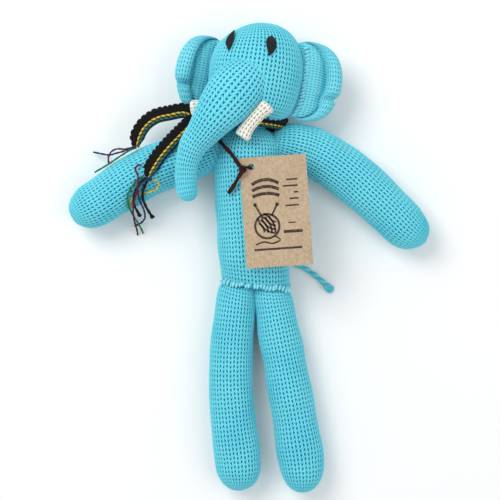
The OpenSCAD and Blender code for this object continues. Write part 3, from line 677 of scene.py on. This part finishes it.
def on_head(points, lift):
    """Places in mm on the front of the head over given x and y, standing off it by lift. They start
    above the head and slide over it until their x and y are right."""
    target = np.array(points, float)
    above = np.full(target.shape[:-1] + (1,), 60.0)
    local = (np.concatenate([target, above], axis=-1) - HEAD_PLACE[:3, 3]) @ HEAD_PLACE[:3, :3]
    for _ in range(14):
        middle = np.interp(local[..., 1], head_line[:, 1], head_line[:, 0])
        wide = np.interp(local[..., 1], head_line[:, 1], head_line[:, 3])
        deep = np.interp(local[..., 1], head_line[:, 1], head_line[:, 4])
        share = (local[..., 0] - middle) / np.maximum(wide, 1)
        local[..., 2] = deep * np.sqrt(np.clip(1 - share ** 2, 0.02, 1))
        world = local @ HEAD_PLACE[:3, :3].T + HEAD_PLACE[:3, 3]
        miss = target - world[..., :2]
        local[..., :2] += miss @ HEAD_PLACE[:2, :2]
    away = unit(local / HEAD_HALF ** 2)
    return world + away @ HEAD_PLACE[:3, :3].T * lift[..., None]


# Eyes: pads of black floss in a leaf and a teardrop, following the curve of the head
def eye(name, node, outline):
    """A pad with an outline over the head in x and y. Its rings run from the heart over the top to
    the edge, and back under it."""
    edge = smooth_path([*outline, outline[0]], 0.35)
    heart = edge[:-1].mean(axis=0)
    share = np.concatenate([np.linspace(0, 1, 9), np.linspace(1, 0, 6)[1:]])
    thick = np.concatenate([0.9 * (1 - np.linspace(0, 1, 9) ** 3) + 1.3, np.linspace(0.7, -1.6, 5)])
    plan = heart + share[:, None, None] * (edge[None] - heart)
    strand = plan[..., 1] / 0.9 + plan[..., 0] * 0.35
    ridge = 0.12 * np.sin(2 * math.pi * strand) * (thick[:, None] > 0.3)
    form = on_head(plan, thick[:, None] + ridge)
    form[0], form[-1] = form[0].mean(axis=0), form[-1].mean(axis=0)
    stitches = np.stack([plan[..., 0], strand], axis=2)
    pad = cloth_piece(name, form, stitches, np.ones(form.shape[:2]), floss)
    stand_in(pad, "head", "black_stitching", node)


eye("left_eye_stitching", "left_eye", [
    (-2.4, 152.2), (-5.5, 149.8), (-9.0, 145.8), (-10.3, 141.6), (-9.4, 138.0), (-8.4, 135.0),
    (-6.6, 137.4), (-4.9, 141.2), (-3.2, 146.6)])
eye("right_eye_stitching", "right_eye", [
    (24.6, 144.6), (21.8, 142.4), (20.7, 138.6), (21.0, 134.0), (21.6, 130.4), (22.2, 128.0),
    (24.9, 129.8), (27.5, 132.8), (28.6, 137.0), (28.0, 141.4), (26.6, 144.0)])

# Trunk: a tapering tube sewn over the face, lying down across the left arm
trunk = knit_tube("trunk_knit", [
    [12.5, 124.5, 62, 9, 3], [9.6, 120.5, 62, 14.6, 6.4], [4.6, 114.5, 61.8, 18.4, 9.8],
    [-4.2, 105.2, 61.6, 21, 12.8], [-13.4, 95.4, 61.4, 20.2, 13.6], [-22, 86.2, 61, 17.6, 13.4],
    [-33.4, 73, 57.2, 13.2, 11.6], [-43.2, 61, 54.6, 10.7, 10], [-48.6, 48, 53.2, 9.2, 8.8],
    [-49.9, 36, 53, 8.8, 8.5], [-49.7, 29.5, 53, 8.3, 8.2], [-49.3, 25.5, 53, 7.9, 7.8],
    [-48.9, 21.5, 53, 5.8, 5.8], [-48.7, 19.6, 53, 3, 3], [-48.7, 19, 53, 0, 0],
], 15, turquoise_knit, depth=0.7, lump=0.3, flat=False)
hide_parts("trunk_skin", "trunk_stuffing")
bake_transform(trunk)

# Arms: each root is drawn in and sewn to the front of the torso
ARMS = {
    "left": [
        [-19, 62.8, 26.6, 4, 3.6], [-21.5, 62.6, 26.6, 10.5, 9.4], [-26, 61.6, 26, 14.8, 13.6],
        [-31.5, 60.6, 24.8, 17, 16.2], [-40, 58.6, 22.6, 18.6, 18.2], [-52, 55.6, 20.4, 19.2, 19],
        [-65.5, 52.3, 20, 19.6, 19.8], [-78.8, 48, 20, 20, 20.2], [-103.5, 36.2, 20, 19.4, 20],
        [-121.7, 25.8, 20, 18.6, 19.2], [-134, 20, 20, 16.8, 17.4], [-141, 17, 20, 13, 13.4],
        [-145.5, 14.8, 20, 7.4, 7.6], [-146.8, 14.2, 20, 0, 0]],
    "right": [
        [20, 63.4, 26.8, 4, 3.6], [22.6, 63, 26.8, 10.5, 9.6], [27, 62, 26.4, 15, 13.8],
        [32.5, 60.8, 25, 17.6, 16.6], [41, 58.2, 22.8, 19, 18.6], [50.5, 55, 20.6, 19.4, 19],
        [60, 50, 20, 19.8, 19.8], [76.5, 38, 20, 20, 20.2], [98.5, 16.4, 20, 19.6, 20],
        [114.5, -0.6, 20, 18.8, 19.2], [126, -13.5, 20, 18, 18], [134.5, -21, 20, 13.8, 14],
        [139, -25.2, 20, 7.2, 7.2], [140.6, -26.6, 20, 0, 0]],
}


def arm_ends(share):
    """How far the stitches gape along an arm: they close up round its end."""
    return 1 - 0.75 * ease(0.8, 0.93, share)


for side, stations in ARMS.items():
    arm = knit_tube(side + "_arm_knit", stations, 20, turquoise_knit, ends=arm_ends, lump=0.4)
    nodes = [side + part for part in ("_arm_skin", "_arm_stuffing", "_shoulder_gather")]
    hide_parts(*nodes)
    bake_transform(arm)

# Legs: pressed flat at the hip seam, round from there to the feet
LEGS = {
    "left": [
        [-14.9, -48.7, 19.0, 12.6, 0, SEAM], [-14.9, -49.0, 18.9, 13.4, 9.0, SEAM],
        [-15.1, -50.4, 18.6, 14.0, 12.4, SEAM], [-15.6, -54, 18, 14.9, 15, SEAM],
        [-16.8, -60, 17.4, 15.9, 16.5, SEAM * 0.7], [-19, -72, 17.1, 16.3, 17.0],
        [-23.3, -98, 17, 17.1, 17.4], [-26, -130, 17, 17.6, 17.6], [-25.8, -162, 17, 18.1, 17.6],
        [-24.4, -192, 17, 18.4, 17.6], [-24.3, -204.5, 17, 17.2, 16.8], [-24.5, -212, 17, 13.6, 13.4],
        [-24.7, -216.6, 17, 8.6, 8.6], [-24.7, -218.6, 17, 3.5, 3.5], [-24.7, -218.9, 17, 0, 0]],
    "right": [
        [12.6, -53.5, 19.0, 12.9, 0, SEAM], [12.6, -53.8, 18.9, 13.7, 9.0, SEAM],
        [12.6, -55.2, 18.6, 14.1, 12.4, SEAM], [12.8, -58.6, 18, 14.8, 15, SEAM],
        [13.3, -64.6, 17.4, 15.8, 16.5, SEAM * 0.7], [14.6, -76.5, 17.1, 16.3, 17.0],
        [17.6, -102, 17, 17.1, 17.4], [21.4, -134, 17, 17.6, 17.6], [24.6, -166, 17, 18.1, 17.6],
        [27.1, -196, 17, 18.4, 17.6], [27.3, -208.5, 17, 17.2, 16.8], [27, -216, 17, 13.6, 13.4],
        [26.8, -220.6, 17, 8.6, 8.6], [26.7, -222.6, 17, 3.5, 3.5], [26.7, -222.9, 17, 0, 0]],
}


def leg_ends(share):
    """How far the stitches gape along a leg: they close up at the hip seam and round the foot."""
    return (0.25 + 0.75 * ease(0.02, 0.12, share)) * (1 - 0.7 * ease(0.84, 0.95, share))


for side, stations in LEGS.items():
    leg = knit_tube(side + "_leg_knit", stations, 19, turquoise_knit, ends=leg_ends, lump=0.4)
    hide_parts(side + "_leg_skin", side + "_leg_stuffing")
    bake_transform(leg)


# Whip stitches -------------------------------------------------------------------------------

def whip_stitches(name, places, ways, length, thickness, material):
    """Short slanting stitches, each a small fat grain of yarn, at places and along ways, in mm."""
    shape = bmesh.new()
    for at, way in zip(places, ways):
        way = unit(np.array(way, float) + chance.normal(scale=0.08, size=3))
        across = unit(np.cross(UP, way))
        turn = Matrix(np.stack([way, across, np.cross(way, across)], axis=1).tolist())
        size = Matrix.Diagonal((length / 2 * MM, thickness / 2 * MM, thickness / 2 * MM, 1))
        bmesh.ops.create_uvsphere(shape, u_segments=10, v_segments=7, radius=1,
                                  matrix=Matrix.Translation(np.array(at) * MM) @ turn.to_4x4() @ size)
    mesh = mesh_from(shape, name)
    layer = mesh.uv_layers.new(name="stitches")
    corner = np.empty(len(mesh.loops), int)
    mesh.loops.foreach_get("vertex_index", corner)
    spots = np.empty(len(mesh.vertices) * 3)
    mesh.vertices.foreach_get("co", spots)
    spots = spots.reshape(-1, 3)[corner] / MM
    layer.data.foreach_set("uv", (spots[:, :2] / thickness).astype(np.float32).ravel())
    mesh.shade_smooth()
    return in_scene(name, mesh, material)


# Hip seams: stitches over and under the flat end of the torso, wandering a little
for side, start, end in (("left", -27.6, -2.6), ("right", -1.2, 26.8)):
    along = np.arange(start, end, 2.5)
    line = np.stack([along, -52.2 - SEAM_SLOPE * (along + 0.1), np.full(len(along), 19.5)], axis=1)
    wobble = chance.normal(scale=0.35, size=(len(along), 3))
    wobble[:, 1] += 0.8 * np.sin(0.45 * along)
    crown = 15.8 * (1 - (along / 29) ** 2)[:, None] ** 0.3 * UP
    top = line + wobble + crown
    under = line + wobble - crown
    lean = [[0.5, 1.0, 0.0]] * (2 * len(along))
    seam = whip_stitches(side + "_hip_stitches", [*top, *under], lean, 6.0, 2.5, pale_stitch)
    stand_in(seam, "torso", "turquoise_knit", side + "_hip_seam")

# Tusks: narrow cream tubes with a turned hem at each end
TUSKS = {
    "right": [
        [19.5, 89.9, 62.0, 0, 0], [19.4, 89.8, 62.0, 3, 2.4], [18.9, 89.4, 62.0, 5.3, 3.8],
        [17.0, 88.0, 61.6, 5.7, 4.3], [13.4, 85.6, 61, 5.0, 3.8], [7.8, 80.6, 59.8, 5.0, 3.9],
        [2.6, 75.2, 59, 5.2, 3.9], [-0.8, 70.8, 58.6, 5.8, 4.1], [-2.3, 68.0, 58.4, 6.3, 4.3],
        [-3.0, 66.5, 58.4, 5.8, 3.9], [-3.2, 66.1, 58.4, 3, 2.4], [-3.3, 66.0, 58.4, 0, 0]],
    "left": [
        [-12, 99.2, 42, 0, 0], [-13, 99, 42, 3.4, 3.4], [-22, 96.4, 42, 4.6, 4],
        [-32, 93.8, 42.6, 5.2, 4.4], [-37.5, 93.2, 43.4, 6.0, 4.6], [-41.2, 93.0, 43.8, 5.7, 4.4],
        [-42.2, 93.0, 43.8, 3.6, 2.8], [-42.5, 93.0, 43.8, 0, 0]],
}
for side, stations in TUSKS.items():
    tusk = knit_tube(side + "_tusk_knit", stations, 6, cream_knit, sides=16, depth=0.7, lump=0.3,
                     flat=False)
    stand_in(tusk, "head", "cream_knit", side + "_tusk")

# Ears: half-round flaps with a raised inner panel, a deep crease and a rim rolled forward. The
# profile goes round the flap's section, each point a share of its width and a height in mm.
EAR_WIDTH = 34
EAR_PROFILE = [
    [0.00, 1.5], [0.07, 3.4], [0.18, 4.9], [0.30, 5.2], [0.41, 4.6], [0.50, 3.0], [0.56, 0.8],
    [0.60, -1.0], [0.635, -1.4], [0.655, 0.2], [0.665, 3.4], [0.71, 6.6], [0.80, 8.3], [0.90, 7.7],
    [0.98, 5.2], [1.02, 2.2], [1.00, -0.8], [0.92, -2.6], [0.75, -3.2], [0.5, -2.8], [0.25, -2.1],
    [0.05, -1.6], [0.00, -0.8], [0.00, 1.5]]
PROFILE_GAP = 0.5                    # from one point of the profile's curve to the next, in mm
PANEL_WALE, PANEL_COURSE = 4.2, 3.2  # stitches of the inner panel, in mm
RIM_WALE, RIM_COURSE = 5.0, 3.6      # stitches of the rim and the back
HINGE_INSET = 6.5                    # how far the ends of the hinge side draw in, in mm


def bulge(swing, middle, spread):
    """Rises to 1 at the middle of a swing and fades within about twice the spread."""
    return np.exp(-((swing - middle) / spread) ** 2)


def hinge_inset(climb, length):
    """How far the hinge side draws in at a climb along it."""
    return HINGE_INSET * (2 * climb / length) ** 4


def ear(side, sign, hinge, tilt, length, lobes):
    """An ear, made flat with x away from its hinge, y along the hinge and z forwards, then placed."""
    place = np.array(beside_head(hinge, HEAD_LEAN - sign * tilt))
    profile = smooth_path([[share * EAR_WIDTH, high] for share, high in EAR_PROFILE], PROFILE_GAP)
    share, height = profile[None, :, 0] / EAR_WIDTH, profile[None, :, 1]
    # Outline: a swing from the lower end of the hinge to the upper one, with a fold between two lobes
    swing = np.linspace(-math.pi / 2, math.pi / 2, 190)[:, None]
    fold = bulge(swing, -0.42, 0.13)
    reach = EAR_WIDTH * np.cos(swing) ** 0.62
    reach += lobes * (1.2 * bulge(swing, -0.9, 0.3) - 0.9 * fold) * np.cos(swing)
    climb = length / 2 * np.sin(swing)
    fade = np.sqrt(np.clip(np.cos(swing), 0, 1)) ** 0.8
    rim = ease(0.6, 0.72, share)
    across = sign * (reach * share - hinge_inset(climb, length) * (1 - share))
    along = climb * (0.9 + 0.1 * share) + 5.0 * rim * bulge(swing, -0.72, 0.28)
    off = height * fade * (1 + 0.14 * np.sin(3 * swing + 0.7)) * (1 - 0.7 * rim * fold)
    form = np.stack([across, along, off], axis=2)
    # Stitches: finer on the panel, where they run across, than round the rim and the back
    round_flap = np.arange(share.size)[None] * PROFILE_GAP
    panel = round_flap < round_flap[0, -1] * 0.29
    edge = travelled(np.concatenate([reach, climb], axis=1))[:, None]
    wale = np.where(panel, along / PANEL_WALE, round_flap / RIM_WALE)
    course = np.where(panel, share * reach / PANEL_COURSE, edge / RIM_COURSE)
    openness = np.where(panel, 0.55, 0.85) * (0.2 + 0.8 * fade)
    relief = (stitch_height(wale, course) - STITCH_MIDDLE) * 0.6 * ease(0.0, 0.3, fade)
    form = form - sign * outwards(form) * relief[:, :, None]
    form[:, -1] = form[:, 0]
    form[0], form[-1] = form[0].mean(axis=0), form[-1].mean(axis=0)
    form = settled(form @ place[:3, :3].T + place[:3, 3])
    piece = cloth_piece(side + "_ear_knit", form, np.stack([wale, course], axis=2), openness, ear_knit)
    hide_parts(side + "_ear")
    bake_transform(piece)
    # Seam: whip stitches along the hinge
    rows = np.arange(-0.44 * length, 0.45 * length, 3.0)
    spots = [(place @ [sign * (3.4 - hinge_inset(y, length)), y, 4.4, 1])[:3] for y in rows]
    ways = [place[:3, :3] @ [sign * 1.0, 0.5, 0.35]] * len(rows)
    stitches = whip_stitches(side + "_ear_stitches", spots, ways, 5.6, 1.9, pale_stitch)
    stand_in(stitches, "head", "turquoise_ear_knit", side + "_ear_seam")


ear("left", -1, (-25.0, 121.1, 18.1), 50, 63, 2.0)
ear("right", 1, (46.2, 110.8, 36.0), -25, 64, 3.5)


# Scarf ---------------------------------------------------------------------------------------

BAND_THICKNESS = 2.0
BAND_SIDES = 48   # sides of the mesh round a band
SCALLOP = 4.2     # from one scallop of a band's edge to the next, in mm


def crocheted_band(name, middle, wide, width, wrap=False):
    """A flat crocheted band along middle, with its scalloped edge towards wide. It closes on itself
    where wrap is true, and narrows at its end where it isn't."""
    ahead = unit(np.gradient(middle, axis=0))
    if wrap:
        ahead[0] = ahead[-1] = unit(middle[1] - middle[-2])
    wide = unit(wide - ahead * np.sum(wide * ahead, axis=1, keepdims=True))
    thick = unit(np.cross(ahead, wide))
    thick *= np.where(thick[:, 2:3] < 0, -1, 1) if not wrap else 1
    run = travelled(middle)
    pitch = run[-1] / round(run[-1] / SCALLOP) if wrap else SCALLOP
    turn = np.linspace(0, 2 * math.pi, BAND_SIDES + 1)
    over = np.sign(np.cos(turn)) * np.abs(np.cos(turn)) ** 0.8
    upper = np.sign(np.sin(turn)) * np.abs(np.sin(turn)) ** 0.6
    share = 0.5 - 0.5 * over
    beat = run[:, None] / pitch
    scallop = np.abs(np.sin(math.pi * beat)) ** 0.5 * 1.4 * (share < 0.3)
    rows = np.select([share < end for end in CROCHET_ROWS], [0.0, 0.5, 0.25, 0.6, 0.1], 0.5)
    lump = np.abs(np.sin(math.pi * (beat + rows + share * 1.2))) ** 0.7
    row = np.interp(share, [0, *CROCHET_ROWS, 1], np.arange(len(CROCHET_ROWS) + 2))
    groove = np.abs(np.sin(math.pi * row)) ** 0.5
    relief = 0.9 * lump * (0.25 + 0.75 * groove) * np.abs(np.sin(turn)) ** 0.3
    half = width / 2 - 0.6
    if not wrap:
        half = (half * (0.45 + 0.55 * ease(run[-1], run[-1] - 9, run)))[:, None]
    form = (middle[:, None] + wide[:, None] * (over * half + scallop * (over > 0))[:, :, None]
            + thick[:, None] * (upper * (BAND_THICKNESS / 2 - 0.35 + relief))[:, :, None])
    form[:, -1] = form[:, 0]
    stitches = np.stack(np.broadcast_arrays(share[None], beat), axis=2)
    if not wrap:
        form = closed_ends(form, middle)
        stitches = np.pad(stitches, ((1, 1), (0, 0), (0, 0)), "edge")
    return cloth_piece(name, form, stitches, np.ones(form.shape[:2]), crochet)


# The loop round the neck: in a plane that is skewed in plan, higher over the neck than under it
turn = np.linspace(0, 2 * math.pi, 331)
skew = math.radians(9)
loop_side = np.array([math.cos(skew), -math.sin(skew), 0])
loop_ahead = np.array([math.sin(skew), math.cos(skew), 0])
loop_out = np.outer(np.cos(turn), loop_side) + np.outer(np.sin(turn), UP)
loop_rise = np.where(np.sin(turn) > 0, 24.0, 19.5) * np.sin(turn)
loop_middle = [2.0, 80.4, 27.5] + np.outer(29.3 * np.cos(turn), loop_side) + np.outer(loop_rise, UP)
flare = np.radians(30 + 15 * np.sin(turn))[:, None]
loop_wide = loop_ahead * np.cos(flare) + loop_out * np.sin(flare)
scarf_loop = crocheted_band("scarf_loop_crochet", loop_middle, loop_wide, 12.0, wrap=True)
stand_in(scarf_loop, "torso", "crocheted_scarf", "scarf_loop")

# Its two tails, lying over the left arm
TAILS = (
    ("upper", 0.070, [
        [-33, 86, 33], [-38.4, 87.5, 34], [-47.8, 92.2, 34.5], [-59.8, 91.5, 33.5], [-72, 89.5, 32],
        [-81.5, 83.5, 30.5], [-87, 75.5, 29.5], [-89.4, 66.6, 29.5]]),
    ("lower", 0.068, [
        [-34, 88, 36.6], [-40, 84.5, 38.6], [-50.5, 76, 41.6], [-61.8, 66, 41.6], [-72.3, 54.9, 41.6],
        [-78.5, 45.7, 41.6], [-80.5, 41, 41.6]]),
)
for which, length, route in TAILS:
    middle = smooth_path(route, 0.42)
    outer = np.cross(unit(np.gradient(middle, axis=0)), UP)
    band = crocheted_band(f"scarf_{which}_crochet", middle, outer, 12.4)
    stand_in(band, "scarf_" + which, "crocheted_scarf", "scarf_tail_" + which)


# Tag -----------------------------------------------------------------------------------------

CARD_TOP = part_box("tag_card")[1][2] / MM


def printed(name, strokes):
    """Thin dark strokes lying on the card, each a list of x, y in mm and a width."""
    shape = bmesh.new()
    for points, width in strokes:
        line = smooth_path(points, 0.8)
        way = unit(np.gradient(line, axis=0))
        side = np.stack([-way[:, 1], way[:, 0]], axis=1) * width / 2
        made = bmesh.ops.create_grid(shape, x_segments=len(line) - 1, y_segments=1, size=1)
        for v in made["verts"]:
            i = round((v.co.x + 1) / 2 * (len(line) - 1))
            x, y = line[i] + side[i] * v.co.y
            v.co = (x * MM, y * MM, (CARD_TOP + 0.02) * MM)
    bmesh.ops.solidify(shape, geom=shape.faces[:], thickness=-0.05 * MM)
    bmesh.ops.recalc_face_normals(shape, faces=shape.faces)
    return stand_in(in_scene(name, mesh_from(shape, name), print_ink), "tag", "kraft_card")


def arc(x, y, wide, high, start, end, count=13):
    """Points round part of an ellipse, from start to end in degrees."""
    turns = np.radians(np.linspace(start, end, count))
    return [(x + wide * math.cos(a), y + high * math.sin(a)) for a in turns]


def rule(start, end, y, width):
    """A straight stroke across the card."""
    return [(start, y), (end, y)], width


# A ball of yarn, its strands winding two ways, with two needles and a loose end
strokes = [(arc(12, -5, 9.6, 9.6, 0, 360, 25), 1.8)]
strokes += [(arc(2, -9, r, r, -6, 62), 1.5) for r in (7.4, 10.4, 13.4, 16.2)]
strokes += [(arc(20, 4, r, r, 188, 262), 1.4) for r in (6.0, 9.0, 12.0, 15.0)]
needles = (((3.4, 12.5), (8, 3.4)), ((21, 12), (16.2, 3.4)))
strokes += [(list(needle), 1.5) for needle in needles]
strokes += [(arc(3.4, 12.5, 0.9, 0.9, 0, 360, 9), 1.4), (arc(21, 12, 0.9, 0.9, 0, 360, 9), 1.4)]
strokes += [([(18, -13.2), (21.5, -16.2), (16, -18.8), (8, -17.4), (2, -19.2)], 1.3)]
# Three arched bands over it, and plain rules beside and below it
strokes += [(arc(12.6, 4, 22, high, 119, 61), 2.6) for high in (28, 22.5, 17)]
short_rules = ((29.3, 31), (26.3, 26), (35, 20.8), (31, 15.8), (27.6, 10.4))
strokes += [rule(start, 38.3, y, 1.3) for start, y in short_rules]
strokes += [rule(29, 34.6, -3.2, 1.0), rule(24.8, 39.8, -10.2, 2.4), rule(0.6, 38.6, -23.3, 1.7)]
printed("tag_print", strokes)

# The card and the stuffing are CAD nodes, which take these materials
for node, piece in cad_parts.items():
    if node.endswith("_stuffing") or node == "tag_card":
        for spot in piece.material_slots:
            spot.material = kraft if node == "tag_card" else fill


# Floor and light -----------------------------------------------------------------------------

shape = bmesh.new()
bmesh.ops.create_grid(shape, x_segments=2, y_segments=2, size=2.5)
floor = in_scene("paper_floor", mesh_from(shape, "paper_floor"), floor_paper())

soft_box("key_softbox", (-0.7, 0.75, 1.3), 0.9, 14, (1.0, 0.99, 0.97))
soft_box("fill_softbox", (0.9, -0.3, 1.3), 1.1, 4.5, (0.97, 0.99, 1.0))
sky = bpy.data.worlds.new("studio_white")
sky.use_nodes = True
sky.node_tree.nodes["Background"].inputs["Color"].default_value = (0.97, 0.985, 1.0, 1.0)
sky.node_tree.nodes["Background"].inputs["Strength"].default_value = 0.61
bpy.context.scene.world = sky
bpy.context.scene.view_settings.view_transform = "Standard"
